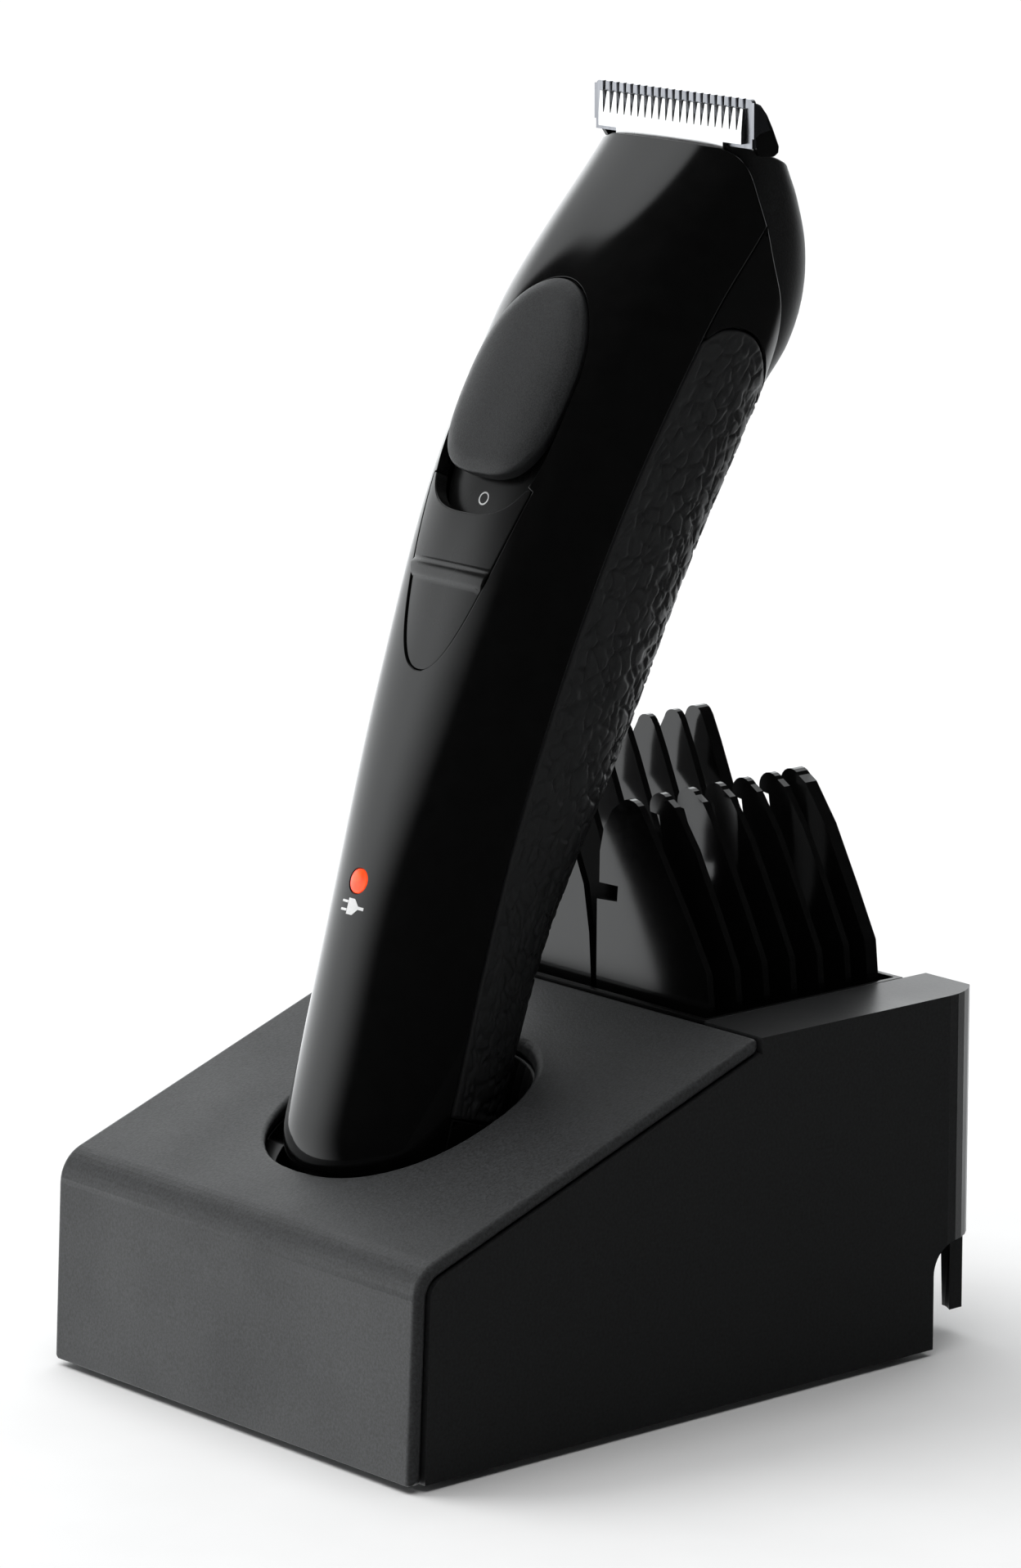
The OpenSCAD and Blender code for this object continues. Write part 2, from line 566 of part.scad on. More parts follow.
// ---- combs ----
// Upper outlines of comb teeth and of the front end plates, as [x, height], from the outer edge
// over the tip and down the inner edge
function short_tooth() = concat([[25, 58.4], [20.9, 66.2], [16.5, 74.1], [12.3, 79.6]],
    arc([9.2, 79], 2.2, 40, 180, 8), [[7.1, 78.2], [9, 78], [9.5, 75], [10.2, 70], [9.8, 63.5], [8, 57.5],
    [4, 54.6]]);
function short_plate() = concat([[25, 58.4], [20.9, 65.2], [15, 74], [11.6, 78.9]],
    arc([8.6, 77.9], 3, 38, 118, 6), [[4.9, 78.8], [3.2, 76.1], [2.3, 72.4], [2.2, 67.8], [6.2, 67.9],
    [6, 65.6], [1.7, 65.3]]);
function long_tooth() = concat([[0, 60], [-1.2, 66.9], [-4.1, 73.4], [-8.1, 82.4], [-9.9, 86]],
    arc([-11.7, 85.4], 1.8, 25, 165, 8), [[-14.4, 84.2], [-15, 81.5], [-15.4, 77], [-12.4, 74.6],
    [-11.6, 62], [-13.4, 57], [-20.8, 54.6]]);
function long_plate() = concat([[0, 60], [-1.2, 66.9], [-4.1, 73.4], [-8.1, 82.4], [-9.9, 85.4]],
    arc([-12.4, 84], 2.9, 35, 115, 6), [[-18.6, 84.2], [-21.2, 80.4], [-22.4, 75], [-22.6, 70],
    [-18.6, 69.9], [-18.8, 67.6], [-23.1, 67.3]]);
module comb(x0, x1, tooth, plate) {
    z0 = tray_z0 + tray_wall + 0.1;
    last = comb_teeth - 1;
    for (i = [0 : last]) translate([0, comb_y0 + i * comb_pitch + tooth_t / 2, 0]) rotate([90, 0, 0])
        linear_extrude(i == last ? end_tooth_t : tooth_t)
            polygon(concat([[x0, z0], [x1 - 1, z0], [x1, z0 + 2], [x1, 53.8]], i == 0 ? plate : tooth,
                [[x0, 54]]));
    translate([x0, comb_y0, z0]) cube([1.4, comb_pitch * last, 7]);
    translate([x0 + 1, comb_y0, z0]) cube([x1 - x0 - 2.5, comb_pitch * last, 1.4]);
}
module comb_short() color([0.04, 0.04, 0.045]) comb(1.6, 25.5, short_tooth(), short_plate());
module comb_long() color([0.04, 0.04, 0.045]) comb(-23.2, 0.4, long_tooth(), long_plate());

stand_housing();
stand_cover();
stand_base();
stand_feet();
stand_screws();
socket_cup();
comb_tray();
contact_block();
contact_pins();
contact_springs();
charge_board();
power_inlet();
front_housing();
rear_housing();
grip();
head_cap();
switch_panel();
switch_pad();
switch_stem();
slide_switch();
lamp_lens();
lamp_led();
charge_terminals();
battery_cell();
battery_tabs();
circuit_board();
inner_frame();
motor_can();
motor_end_cap();
motor_bush();
motor_shaft();
motor_armature();
drive_cam();
motor_mount();
housing_screws();
blade_holder();
fixed_blade();
moving_blade();
drive_block();
blade_spring();
comb_short();
comb_long();
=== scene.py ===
"""Looks for the hair trimmer in its charging stand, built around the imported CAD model.

Trimmer pieces are made on a "skin": a map from (around, along) in millimetres to a point of the
trimmer's outside. Outlines are drawn in that flat map, so seams, holes and marks follow the shape.
"""
import json
import math

import bpy
import numpy as np
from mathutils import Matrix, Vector, geometry, kdtree, noise


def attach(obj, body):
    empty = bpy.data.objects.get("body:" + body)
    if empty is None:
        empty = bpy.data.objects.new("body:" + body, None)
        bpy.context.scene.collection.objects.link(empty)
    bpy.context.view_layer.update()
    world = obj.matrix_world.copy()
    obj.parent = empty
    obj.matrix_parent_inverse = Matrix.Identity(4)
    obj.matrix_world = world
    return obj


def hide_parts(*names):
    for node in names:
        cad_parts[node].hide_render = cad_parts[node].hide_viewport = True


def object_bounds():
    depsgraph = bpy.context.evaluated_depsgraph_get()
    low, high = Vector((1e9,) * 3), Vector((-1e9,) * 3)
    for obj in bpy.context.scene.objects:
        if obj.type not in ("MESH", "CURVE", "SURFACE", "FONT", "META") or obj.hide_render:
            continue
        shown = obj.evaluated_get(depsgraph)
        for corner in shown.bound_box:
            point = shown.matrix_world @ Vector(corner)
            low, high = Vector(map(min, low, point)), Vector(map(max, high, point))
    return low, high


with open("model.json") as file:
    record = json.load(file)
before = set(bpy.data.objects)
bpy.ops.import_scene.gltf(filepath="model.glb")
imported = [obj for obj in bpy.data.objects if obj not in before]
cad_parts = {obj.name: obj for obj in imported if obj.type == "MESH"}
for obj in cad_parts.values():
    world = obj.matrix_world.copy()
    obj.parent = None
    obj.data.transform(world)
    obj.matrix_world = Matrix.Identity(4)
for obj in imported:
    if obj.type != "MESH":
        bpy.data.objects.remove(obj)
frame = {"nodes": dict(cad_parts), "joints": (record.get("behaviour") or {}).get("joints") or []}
CAD_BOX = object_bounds()
MM = 0.001

# ---- the trimmer's own axes, from the frame ----
JOINTS = {j["name"]: j for j in frame["joints"]}
UP = np.array(JOINTS["trimmer_lift"]["axis"], float)
UP /= np.linalg.norm(UP)
BACK = np.array([0.0, UP[2], -UP[1]])
ACROSS = np.array([1.0, 0.0, 0.0])
MOTOR_UP, MOTOR_BACK = 125.0, 11.0      # the motor joint's place on the trimmer, in mm
SEAT = np.array(JOINTS["motor_spin"]["pos_m"], float) - MM * (MOTOR_UP * UP + MOTOR_BACK * BACK)

# Rows of [height, front, back, half width, squareness] along the trimmer, in mm
HEAD_TOP = 157.0
END_R = 10.0
BODY = np.array([
    [0, -15.4, 15.4, 13.2, 2], [20, -16.2, 15.4, 13.4, 2], [45, -17.3, 15.8, 13.6, 2.1],
    [75, -16.4, 18.4, 14.6, 2.9], [102, -14.6, 20.6, 15.8, 3.4], [127, -9.6, 24.5, 17, 3.5],
    [140, -4.8, 25, 17, 3.4], [HEAD_TOP, 4, 18, 16.5, 3.2]])
CAP = np.array([
    [125.2, 4, 25.0, 14.5, 3], [127, 4, 25.8, 14.6, 3], [133, 4, 28.2, 15, 3], [140, 4, 28.8, 15.1, 3],
    [147, 4, 26.8, 15, 3], [153, 4, 22.6, 14.8, 3], [158, 4, 17.6, 14.4, 3]])
# Outlines on the trimmer's side, as [depth, height]
SEAM = [[0, -1], [-1.4, 17], [-3, 60], [-0.8, 98], [5, 129], [12, 147.6]]
REAR_EDGE = [[12, 147.6], [15, 143], [18.7, 138], [20.6, 133], [21, 127.5], [23, 125.6], [26, 124.6]]
FRONT_EDGE = [[12, 147.6], [9.2, 151], [6.6, 154.4], [4.6, 156.6]]
GRIP_TOP = [[5, 129], [8, 131.6], [12, 132.6], [16, 131.6], [20, 127.5], [24, 122], [26, 120.5]]
CAP_EDGE = [[4.6, 157.4], [6.6, 154.6], [11.6, 148], [14.6, 143.4], [18.3, 138], [20.2, 133],
            [20.4, 127.4], [21.5, 126.2]]
CAP_LAP = 0.2                            # how far the cap's edge stands back from its outline
GRIP_LOW, GRIP_CORNER = 16.0, 129.0      # heights of the grip's foot and of its upper corner at the seam
WALL, SEAM_GAP = 1.8, 0.12

# Switch area
PAD_W, PAD_HALF, PAD_LEN, PAD_PROUD = 118.5, 10.5, 14.8, 1.0
POCKET_GAP, TRAVEL, FLOOR_DEPTH = 0.35, 5.2, 2.6
PANEL_LOW, PANEL_TOP, PANEL_HALF, PANEL_GAP = 75.3, 103.0, 10.4, 0.14
RIDGE_W, RIDGE_HALF, RIDGE_HIGH, RIDGE_STEP = 89.2, 1.3, 0.55, 0.25
OFF_W, OFF_R, OFF_HOLE = 101.0, 1.0, 0.76
LAMP_W, LAMP_R, PLUG_W = 44.8, 1.75, 41.1
PRINT_PROUD = 0.03

# Light: directions as (azimuth from the front, elevation) in degrees, angles of the suns in degrees
KEY_AT, KEY_POWER, KEY_ANGLE = (-62, 48), 1.3, 32
FILL_AT, FILL_POWER, FILL_ANGLE = (20, 84), 1.9, 60
BASE_GLOW, SKY_TINT = 0.02, (0.97, 0.99, 1.0, 1)
# Broad low light on the left: direction, cosines where it starts and is full, then heights of the same
LOW_AT, LOW_SIDE, LOW_HEIGHT, LOW_POWER = (-75, 0), (0.0, 0.85), (0.50, 0.26), 1.8
# Large softbox behind on the left, with a clear edge
HIGH_AT, HIGH_EDGE, HIGH_POWER = (-125, 35), (0.765, 0.80), 1.2
# Pale table behind; the floor doesn't show in glossy surfaces, so they mirror this instead
BACK_AT, BACK_EDGE, BACK_POWER = (-160, -15), (0.80, 0.97), 1.3

# Camera: direction, distance in metres, lens in mm, and its aim as depth and share of the height
VIEW_AT, VIEW_FROM, LENS = (49.19, 12.61), 0.96725, 157.26
AIM_Y, AIM_SHARE = -0.00225, 0.4496
SHIFT_X, SHIFT_Y = -0.0007, 0.0136
FLOOR_HALF, FLOOR_DROP = 6.0, 0.0002


# ---- materials ----
def nodes_of(name):
    material = bpy.data.materials.new(name)
    material.use_nodes = True
    tree = material.node_tree
    return material, tree, tree.nodes["Principled BSDF"]


def link(tree, a, a_out, b, b_in):
    tree.links.new(a.outputs[a_out], b.inputs[b_in])


def add(tree, kind, **values):
    made = tree.nodes.new(kind)
    for key, value in values.items():
        if hasattr(made, key):
            setattr(made, key, value)
        else:
            made.inputs[key].default_value = value
    return made


def noise_at(tree, scale, detail=2.0, stretch=(1, 1, 1), rough=0.5):
    """Noise in the object's own space; scale is in cells per metre."""
    where = add(tree, "ShaderNodeTexCoord")
    mapping = add(tree, "ShaderNodeMapping")
    mapping.inputs["Scale"].default_value = stretch
    texture = add(tree, "ShaderNodeTexNoise", Scale=scale, Detail=detail, Roughness=rough)
    link(tree, where, "Object", mapping, "Vector")
    link(tree, mapping, "Vector", texture, "Vector")
    return texture


def ramp(tree, source, low, high, start=0.3, end=0.7):
    made = add(tree, "ShaderNodeValToRGB")
    made.color_ramp.elements[0].position = start
    made.color_ramp.elements[1].position = end
    made.color_ramp.elements[0].color = (*low, 1)
    made.color_ramp.elements[1].color = (*high, 1)
    link(tree, source, "Fac", made, "Fac")
    return made


def grey(value, tint=(1, 1, 1)):
    return tuple(value * t for t in tint)


def finish(name, low, high, rough, scale, bump=0.0, bump_mm=0.05, metal=0.0, stretch=(1, 1, 1),
           level=0.5):
    """Moulded or ground surface: two tones of colour, uneven gloss and a fine raised grain."""
    material, tree, shader = nodes_of(name)
    grain = noise_at(tree, scale, 2.0, stretch, 0.6)
    broad = noise_at(tree, 60, 3)
    colour = ramp(tree, grain, low, high)
    link(tree, colour, "Color", shader, "Base Color")
    gloss = ramp(tree, broad, grey(rough[0]), grey(rough[1]))
    link(tree, gloss, "Color", shader, "Roughness")
    shader.inputs["Metallic"].default_value = metal
    shader.inputs["Specular IOR Level"].default_value = level
    if bump:
        relief = add(tree, "ShaderNodeBump", Strength=bump, Distance=bump_mm * MM)
        link(tree, grain, "Fac", relief, "Height")
        link(tree, relief, "Normal", shader, "Normal")
    return material


def lamp_glow(name):
    material, tree, shader = nodes_of(name)
    spots = noise_at(tree, 900, 3)
    colour = ramp(tree, spots, (0.75, 0.035, 0.008), (0.95, 0.07, 0.012))
    link(tree, colour, "Color", shader, "Base Color")
    link(tree, colour, "Color", shader, "Emission Color")
    shader.inputs["Emission Strength"].default_value = 0.9
    shader.inputs["Roughness"].default_value = 0.18
    return material


COOL = (0.96, 1.0, 1.04)
LILAC = (0.97, 0.99, 1.06)
MAT = {
    "gloss": finish("gloss_black", grey(0.0022), grey(0.0034), (0.07, 0.10), 400, level=0.45),
    "side": finish("satin_side", grey(0.003), grey(0.005), (0.13, 0.18), 2600, 0.05, 0.02, level=0.4),
    "grip": finish("grip_rubber", grey(0.014), grey(0.024, COOL), (0.40, 0.52), 5200, 0.3, 0.05, level=0.5),
    "cap": finish("cap_texture", grey(0.007), grey(0.014, COOL), (0.36, 0.46), 3200, 0.4, 0.06,
                  level=0.35),
    "panel": finish("panel_satin", grey(0.005), grey(0.008), (0.22, 0.30), 2600, 0.08, 0.02, level=0.45),
    "pad": finish("pad_sparkle", grey(0.010), grey(0.030, COOL), (0.42, 0.52), 5200, 0.6, 0.06, level=0.3),
    "pocket": finish("pocket_black", grey(0.004), grey(0.006), (0.25, 0.35), 2600, 0.1, 0.03, level=0.3),
    "cover": finish("cover_grain", grey(0.022), grey(0.046, COOL), (0.44, 0.54), 2600, 0.5, 0.08,
                    level=0.4),
    "stand": finish("stand_satin", grey(0.013), grey(0.022, COOL), (0.34, 0.42), 2200, 0.25, 0.05,
                    level=0.35),
    "inner": finish("inner_black", grey(0.003), grey(0.005), (0.3, 0.4), 1800, 0.15, 0.04, level=0.3),
    "comb": finish("comb_gloss", grey(0.0025), grey(0.004), (0.10, 0.15), 500, level=0.5),
    "rubber": finish("foot_rubber", grey(0.015), grey(0.03), (0.7, 0.85), 2500, 0.4, 0.08),
    "blade": finish("blade_steel", grey(0.62), grey(0.76), (0.22, 0.32), 900, 0.12, 0.01, metal=1.0,
                    stretch=(0.06, 1, 1)),
    "guard": finish("guard_steel", grey(0.26, LILAC), grey(0.36, LILAC), (0.24, 0.34), 1100, 0.15, 0.012,
                    metal=1.0, stretch=(1, 1, 0.08)),
    "steel": finish("plated_steel", grey(0.5), grey(0.66), (0.22, 0.34), 700, 0.1, 0.02, metal=1.0),
    "gold": finish("contact_gold", (0.62, 0.44, 0.16), (0.78, 0.58, 0.24), (0.2, 0.3), 900, 0.1, 0.01,
                   metal=1.0),
    "brass": finish("bush_brass", (0.45, 0.3, 0.1), (0.6, 0.42, 0.16), (0.35, 0.5), 1500, 0.3, 0.03,
                    metal=1.0),
    "copper": finish("armature_copper", (0.42, 0.16, 0.06), (0.6, 0.26, 0.1), (0.3, 0.45), 1200, 0.5,
                     0.1, metal=1.0, stretch=(1, 1, 0.2)),
    "board": finish("board_green", (0.008, 0.07, 0.025), (0.015, 0.12, 0.045), (0.25, 0.4), 300, 0.1,
                    0.03),
    "cell": finish("cell_wrap", (0.02, 0.12, 0.08), (0.03, 0.16, 0.11), (0.2, 0.3), 250, 0.05, 0.03),
    "white": finish("inner_white", grey(0.55), grey(0.65), (0.4, 0.5), 1500, 0.15, 0.04),
    "print": finish("white_print", grey(0.78), grey(0.86), (0.4, 0.5), 3000, 0.1, 0.01),
    "lamp": lamp_glow("lamp_red"),
}


# ---- curves in a flat map ----
def spline(points, step):
    """Catmull-Rom curve through the points, at about the given spacing."""
    p = np.array(points, float)
    p = np.vstack([2 * p[0] - p[1], p, 2 * p[-1] - p[-2]])
    out = []
    for i in range(1, len(p) - 2):
        n = max(2, int(np.linalg.norm(p[i + 1] - p[i]) / step))
        for k in range(n):
            t = k / n
            out.append(0.5 * (2 * p[i] + (p[i + 1] - p[i - 1]) * t
                              + (2 * p[i - 1] - 5 * p[i] + 4 * p[i + 1] - p[i + 2]) * t * t
                              + (3 * p[i] - p[i - 1] - 3 * p[i + 1] + p[i + 2]) * t ** 3))
    out.append(p[-2])
    return np.array(out)


def even(points, step, closed=False):
    """The same polyline at an even spacing, with its ends kept."""
    p = np.array(points, float)
    if closed:
        p = np.vstack([p, p[:1]])
    d = np.concatenate([[0], np.cumsum(np.linalg.norm(np.diff(p, axis=0), axis=1))])
    n = max(3, int(round(d[-1] / step)))
    s = np.linspace(0, d[-1], n + 1)
    q = np.stack([np.interp(s, d, p[:, k]) for k in range(p.shape[1])], 1)
    return q[:-1] if closed else q


def joined(*curves):
    """Closed loop from curves laid end to end, turned anticlockwise."""
    p = np.vstack(curves)
    keep = np.linalg.norm(p - np.roll(p, 1, 0), axis=1) > 0.02
    p = p[keep]
    area = np.sum(p[:, 0] * np.roll(p[:, 1], -1) - np.roll(p[:, 0], -1) * p[:, 1])
    return p if area > 0 else p[::-1]


def outward(loop):
    """Unit normals that point out of an anticlockwise loop."""
    a = loop - np.roll(loop, 1, 0)
    b = np.roll(loop, -1, 0) - loop
    a /= np.linalg.norm(a, axis=1)[:, None] + 1e-9
    b /= np.linalg.norm(b, axis=1)[:, None] + 1e-9
    n = np.stack([(a + b)[:, 1], -(a + b)[:, 0]], 1)
    n /= np.linalg.norm(n, axis=1)[:, None] + 1e-9
    stretch = 1 / np.clip(n[:, 0] * a[:, 1] - n[:, 1] * a[:, 0], 0.5, 1)
    return n * stretch[:, None]


def inside(points, loop):
    x, y = points[:, 0:1], points[:, 1:2]
    x0, y0 = loop[:, 0][None], loop[:, 1][None]
    x1, y1 = np.roll(x0, -1, 1), np.roll(y0, -1, 1)
    found = np.zeros(len(points), int)
    for i in range(0, len(points), 4000):
        s = slice(i, i + 4000)
        cross = ((y0 > y[s]) != (y1 > y[s])) & (
            x[s] < (x1 - x0) * (y[s] - y0) / np.where(y1 == y0, 1e-9, y1 - y0) + x0)
        found[s] = cross.sum(1)
    return found % 2 == 1


def power(v, p):
    return np.sign(v) * np.abs(v) ** p


# ---- skins ----
class Skin:
    """Outside of a station table as a map from (around, along) in mm to [x, depth, height]."""

    def __init__(self, rows, low, high, end_r=0.0, step=0.5, count=720):
        self.low, self.step, self.count, self.end_r = low, step, count, end_r
        self.v = np.arange(low, high + step, step)
        self.grid = np.zeros((len(self.v), count, 3))
        self.half = np.zeros(len(self.v))
        q = np.linspace(0, math.pi, 4001)
        for i, v in enumerate(self.v):
            turn = max(0.0, (end_r - v) / end_r) if end_r else 0.0
            w = end_r - end_r * math.sin(turn) if turn else v
            inset = end_r * (1 - math.cos(turn)) if turn else 0.0
            front, back, half, n = (self.smooth(rows, w, k) for k in (1, 2, 3, 4))
            x = (half - inset) * power(np.sin(q), 2 / n)
            t = (front + back) / 2 - ((back - front) / 2 - inset) * power(np.cos(q), 2 / n)
            d = np.concatenate([[0], np.cumsum(np.hypot(np.diff(x), np.diff(t)))])
            s = np.linspace(0, d[-1], count // 2 + 1)
            xs, ts = np.interp(s, d, x), np.interp(s, d, t)
            self.half[i] = d[-1]
            self.grid[i, :, 0] = np.concatenate([xs, -xs[-2:0:-1]])
            self.grid[i, :, 1] = np.concatenate([ts, ts[-2:0:-1]])
            self.grid[i, :, 2] = w
        around = np.roll(self.grid, -2, 1) - np.roll(self.grid, 2, 1)
        along = np.gradient(self.grid, axis=0)
        self.normal = np.cross(around, along)
        self.normal /= np.linalg.norm(self.normal, axis=2)[:, :, None] + 1e-12

    @staticmethod
    def smooth(rows, w, k):
        """Column k of the station table at a height, as a smooth curve through its rows."""
        i = int(np.clip(np.searchsorted(rows[:, 0], w, side="right") - 1, 0, len(rows) - 2))

        def slope(j):
            a, b = max(j - 1, 0), min(j + 1, len(rows) - 1)
            return (rows[b, k] - rows[a, k]) / (rows[b, 0] - rows[a, 0])

        h = rows[i + 1, 0] - rows[i, 0]
        u = (w - rows[i, 0]) / h
        return ((2 * u ** 3 - 3 * u ** 2 + 1) * rows[i, k] + (u ** 3 - 2 * u ** 2 + u) * h * slope(i)
                + (3 * u ** 2 - 2 * u ** 3) * rows[i + 1, k] + (u ** 3 - u ** 2) * h * slope(i + 1))

    def half_way(self, v):
        """Distance round the skin from the middle of the front to the middle of the back."""
        return np.interp(v, self.v, self.half)

    def look(self, table, uv):
        """Value of a grid table between its points."""
        u, v = uv[:, 0], uv[:, 1]
        fi = np.clip((v - self.low) / self.step, 0, len(self.v) - 1.001)
        i = fi.astype(int)
        g = (fi - i)[:, None]
        s = (u / self.half_way(v)) % 2
        fj = s * self.count / 2
        j = fj.astype(int) % self.count
        h = (fj - np.floor(fj))[:, None]
        k = (j + 1) % self.count
        return ((table[i, j] * (1 - h) + table[i, k] * h) * (1 - g)
                + (table[i + 1, j] * (1 - h) + table[i + 1, k] * h) * g)

    @staticmethod
    def turned(local):
        """Vectors on the trimmer's own axes, turned into the frame's."""
        return local[:, 0:1] * ACROSS + local[:, 1:2] * BACK + local[:, 2:3] * UP

    def at(self, uv, depth=0.0):
        """World places and normals at flat-map points, moved inwards by depth mm."""
        p, n = self.look(self.grid, uv), self.look(self.normal, uv)
        n /= np.linalg.norm(n, axis=1)[:, None]
        return SEAT + MM * self.turned(p - n * np.reshape(depth, (-1, 1))), self.turned(n)

    def along(self, w):
        """Place along the skin of a height on the trimmer."""
        if w >= self.end_r:
            return w
        return self.end_r - self.end_r * math.asin(min(1.0, (self.end_r - w) / self.end_r))

    def ring(self, v):
        """Points from the middle of the front to the middle of the back, at one height."""
        s = np.linspace(0, 1, self.count // 2 + 1)
        uv = np.stack([s * self.half_way(v), np.full(len(s), v)], 1)
        uv[-1, 0] -= 1e-6
        return uv[:, 0], self.look(self.grid, uv)

    def from_side(self, curve):
        """Flat-map points of a [depth, height] curve on the right side, up to the middle of the back."""
        out = []
        for t, w in curve:
            v = self.along(w)
            u, p = self.ring(v)
            out.append([np.interp(t, p[:, 1], u), v])
            if t >= p[-1, 1]:
                break
        return np.array(out)

    def from_front(self, curve):
        """Flat-map points of an [x, height] curve on the front."""
        out = []
        for x, w in curve:
            v = self.along(w)
            u, p = self.ring(v)
            top = int(np.argmax(p[:, 0]))
            out.append([math.copysign(np.interp(abs(x), p[:top, 0], u[:top]), x), v])
        return np.array(out)

    def mirror(self, curve):
        """The same curve on the left side, with u counted on round the back."""
        c = curve.copy()
        c[:, 0] = 2 * self.half_way(c[:, 1]) - c[:, 0]
        return c[::-1]


# ---- building meshes ----
def make(name, verts, faces, material, body, normals=None):
    """Mesh object with smooth faces that rides a body."""
    mesh = bpy.data.meshes.new(name)
    mesh.from_pydata([tuple(v) for v in verts], [], [tuple(f) for f in faces])
    mesh.validate()
    mesh.polygons.foreach_set("use_smooth", [True] * len(mesh.polygons))
    if normals is not None:
        mesh.normals_split_custom_set([tuple(n) for n in normals])
    mesh.materials.append(MAT[material])
    made = bpy.data.objects.new(name, mesh)
    bpy.context.scene.collection.objects.link(made)
    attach(made, body)
    return made


def grid_points(loop, step):
    """Triangular grid over a loop's box."""
    lo, hi = loop.min(0), loop.max(0)
    out = []
    for i, height in enumerate(np.arange(lo[1], hi[1], step * 0.866)):
        row = np.arange(lo[0] + (i % 2) * step / 2, hi[0], step)
        out.append(np.stack([row, np.full(len(row), height)], 1))
    return np.vstack(out)


def near(points, loops):
    """Distance from each point to the nearest loop point."""
    marks = np.vstack(loops)
    tree = kdtree.KDTree(len(marks))
    for i, m in enumerate(marks):
        tree.insert((m[0], m[1], 0), i)
    tree.balance()
    return np.array([tree.find((p[0], p[1], 0))[2] for p in points])


# Quarter circle of a rim, from the wall to the face, as shares of its radius: (inwards, dropped)
EDGE_RINGS = ((0.0, 1.0), (0.076, 0.617), (0.293, 0.293), (0.617, 0.076), (1.0, 0.0))
FACE, RIM, UNDERSIDE = range(3)
NUDGE, REACH = 0.05, 0.15     # steps in mm for the skin's directions and for the slope of a lift


def rim_rings(loops):
    """Rings of the rounded rims: their points, drops and tilts, and each loop's rings as indices."""
    points, drops, tilts, chains = [], [], [], []
    count = 0
    for loop, r in loops:
        n = outward(loop)
        rings = []
        for share, drop in EDGE_RINGS:
            points.append(loop - n * (share * r))
            drops.append(np.full(len(loop), drop * r))
            tilts.append(n * (1 - share) / max(math.hypot(1 - share, 1 - drop), 1e-6))
            rings.append(np.arange(count, count + len(loop)))
            count += len(loop)
        chains.append(rings)
    return np.vstack(points), np.concatenate(drops), np.vstack(tilts), chains


def inner_points(outer, holes, loops, step):
    """Even points inside the outline, clear of the holes and of every rim."""
    inner = grid_points(outer, step)
    ok = inside(inner, outer)
    for h in holes:
        ok &= ~inside(inner, h)
    inner = inner[ok]
    away = near(inner, [loop for loop, _ in loops])
    return inner[away > max(r for _, r in loops) + 0.45 * step]


def triangles(rim, last, inner):
    """Triangles between the innermost rings and the inner points, as indices of rim and inner."""
    border = [(int(a), int(b)) for c in last for a, b in zip(c, np.roll(c, -1))]
    flat = np.vstack([rim[c] for c in last] + [inner])
    names = np.concatenate([*last, np.arange(len(rim), len(rim) + len(inner))])
    index = {int(g): i for i, g in enumerate(names)}
    edges = [(index[a], index[b]) for a, b in border]
    found = geometry.delaunay_2d_cdt([Vector(p) for p in flat], edges, [], 0, 1e-7, True)
    where, origin = np.array([tuple(p) for p in found[0]]), found[3]
    tris = np.array([f for f in found[2] if len(f) == 3])
    middle = where[tris].mean(1)
    keep = inside(middle, rim[last[0]])
    for c in last[1:]:
        keep &= ~inside(middle, rim[c])
    back_to = np.array([names[o[0]] if o else -1 for o in origin])
    tris = back_to[tris[keep]]
    return tris[(tris >= 0).all(1)]


def quads(rings):
    """Each quad between neighbouring rings, as its two lower and its two upper corners."""
    for lower, upper in zip(rings, rings[1:]):
        for i in range(len(lower)):
            j = (i + 1) % len(lower)
            yield lower[i], lower[j], upper[i], upper[j]


def shell_faces(tris, chains, total):
    """Faces of the closed shell as (part, corners); the underside's points come after the top's."""
    faces = [(FACE, tuple(t)) for t in tris]
    for rings in chains:
        faces += [(FACE, (a, b, d, c)) for a, b, c, d in quads(rings)]
        base = rings[0]
        faces += [(RIM, (a, total + a, total + b, b)) for a, b in zip(base, np.roll(base, -1))]
    faces += [(UNDERSIDE, (total + c, total + b, total + a)) for a, b, c in tris]
    for rings in chains:
        faces += [(UNDERSIDE, (total + a, total + c, total + d, total + b)) for a, b, c, d in quads(rings)]
    return faces


def unit(vectors, least=0.0):
    return vectors / (np.linalg.norm(vectors, axis=1)[:, None] + least)


